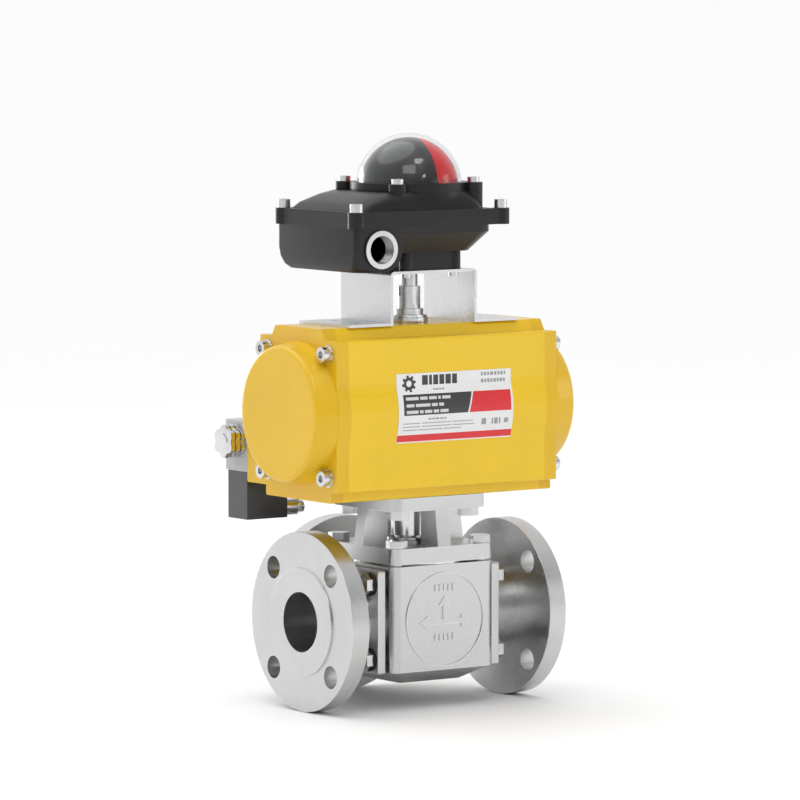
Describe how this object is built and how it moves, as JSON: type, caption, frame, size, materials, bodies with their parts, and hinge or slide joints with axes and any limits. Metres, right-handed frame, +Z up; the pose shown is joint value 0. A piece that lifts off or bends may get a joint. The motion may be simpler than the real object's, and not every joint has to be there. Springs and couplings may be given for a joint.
{
  "type": "pneumatic rotary actuator on a three-way ball valve",
  "caption": "Double-acting rack-and-pinion pneumatic actuator with a solenoid valve and a limit switch box, driving a three-way flanged ball valve.",
  "frame": {"origin": "centre of the ball, where the stem axis crosses the through bore", "axes": "+X along the through bore to the right flange, +Y to the rear flange and the solenoid valve, +Z up the stem axis"},
  "size_m": [0.2682, 0.1884, 0.4859],
  "materials": {
    "cast_steel": "fine blasted stainless casting",
    "stainless": "machined stainless",
    "polished_steel": "polished stainless",
    "screw_steel": "bright stainless screws",
    "sheet_steel": "satin stainless sheet",
    "yellow_paint": "gloss yellow coating on an aluminium extrusion and castings",
    "bare_aluminium": "machined aluminium",
    "anodised_aluminium": "satin anodised aluminium",
    "box_black": "satin black powder coat on die cast aluminium",
    "coil_black": "moulded black epoxy",
    "rubber": "black nitrile rubber",
    "ptfe": "white PTFE",
    "label_white": "printed white film",
    "cam_plastic": "orange acetal",
    "switch_plastic": "black thermoset",
    "terminal_plastic": "green polyamide",
    "drum_grey": "dark grey moulded plastic",
    "panel_red": "red moulded plastic",
    "clear_dome": "clear polycarbonate"
  },
  "bodies": {
    "housing": {"valve_body": "cast_steel", "left_end_connector": "cast_steel", "right_end_connector": "cast_steel", "rear_end_connector": "cast_steel", "end_plate_bolts": "stainless", "end_plate_washers": "rubber", "body_gaskets": "polished_steel", "ball_seats": "ptfe", "mounting_cage": "cast_steel", "cage_lower_bolts": "stainless", "cage_upper_bolts": "stainless", "stem_bushing": "ptfe", "stem_packing": "ptfe", "packing_gland": "stainless", "actuator_body": "yellow_paint", "left_end_cap": "yellow_paint", "right_end_cap": "yellow_paint", "end_cap_screws": "screw_steel", "end_cap_washers": "screw_steel", "end_cap_seals": "rubber", "pinion_bearings": "ptfe", "pinion_washer": "polished_steel", "travel_stop_screws": "screw_steel", "travel_stop_nuts": "screw_steel", "label_plate": "label_white", "switch_bracket": "sheet_steel", "bracket_foot_screws": "screw_steel", "box_mounting_screws": "screw_steel", "solenoid_valve_body": "anodised_aluminium", "spool_plug": "screw_steel", "pilot_head": "anodised_aluminium", "solenoid_coil": "coil_black", "coil_connector": "polished_steel", "connector_nut": "polished_steel", "solenoid_screws": "screw_steel", "switch_box_base": "box_black", "switch_box_cover": "box_black", "cover_gasket": "rubber", "cover_screws": "screw_steel", "conduit_insert": "bare_aluminium", "micro_switches": "switch_plastic", "terminal_strip": "terminal_plastic", "indicator_dome": "clear_dome", "dome_ring": "box_black", "dome_screws": "screw_steel"},
    "drive_train": {"ball": "polished_steel", "valve_stem": "stainless", "stem_coupling": "polished_steel", "pinion": "stainless", "pinion_circlip": "polished_steel", "switch_shaft": "stainless", "switch_cams": "cam_plastic", "indicator_drum": "drum_grey", "indicator_panels": "panel_red"},
    "left_piston": {"left_piston": "bare_aluminium", "left_piston_rings": "rubber"},
    "right_piston": {"right_piston": "bare_aluminium", "right_piston_rings": "rubber"},
    "spool": {"valve_spool": "polished_steel"},
    "override_knob": {"override_knob": "polished_steel"}
  },
  "joints": [
    {"name": "pinion_turn", "type": "hinge", "parent": "housing", "child": "drive_train", "pos_m": [0, 0, 0], "axis": [0, 0, 1], "range_deg": [0, 90]},
    {"name": "right_piston_slide", "type": "slide", "parent": "housing", "child": "right_piston", "axis": [1, 0, 0], "range_m": [0, 0.0283]},
    {"name": "left_piston_slide", "type": "slide", "parent": "housing", "child": "left_piston", "axis": [-1, 0, 0], "range_m": [0, 0.0283]},
    {"name": "spool_shift", "type": "slide", "parent": "housing", "child": "spool", "axis": [1, 0, 0], "range_m": [0, 0.005], "stiffness_N_per_m": 900},
    {"name": "override_turn", "type": "hinge", "parent": "housing", "child": "override_knob", "pos_m": [-0.1143, 0.092, 0.147], "axis": [-1, 0, 0], "range_deg": [0, 90]}
  ],
  "couplings": [
    {"joint": "right_piston_slide", "follows": "pinion_turn", "m_per_rad": 0.018},
    {"joint": "left_piston_slide", "follows": "pinion_turn", "m_per_rad": 0.018}
  ]
}
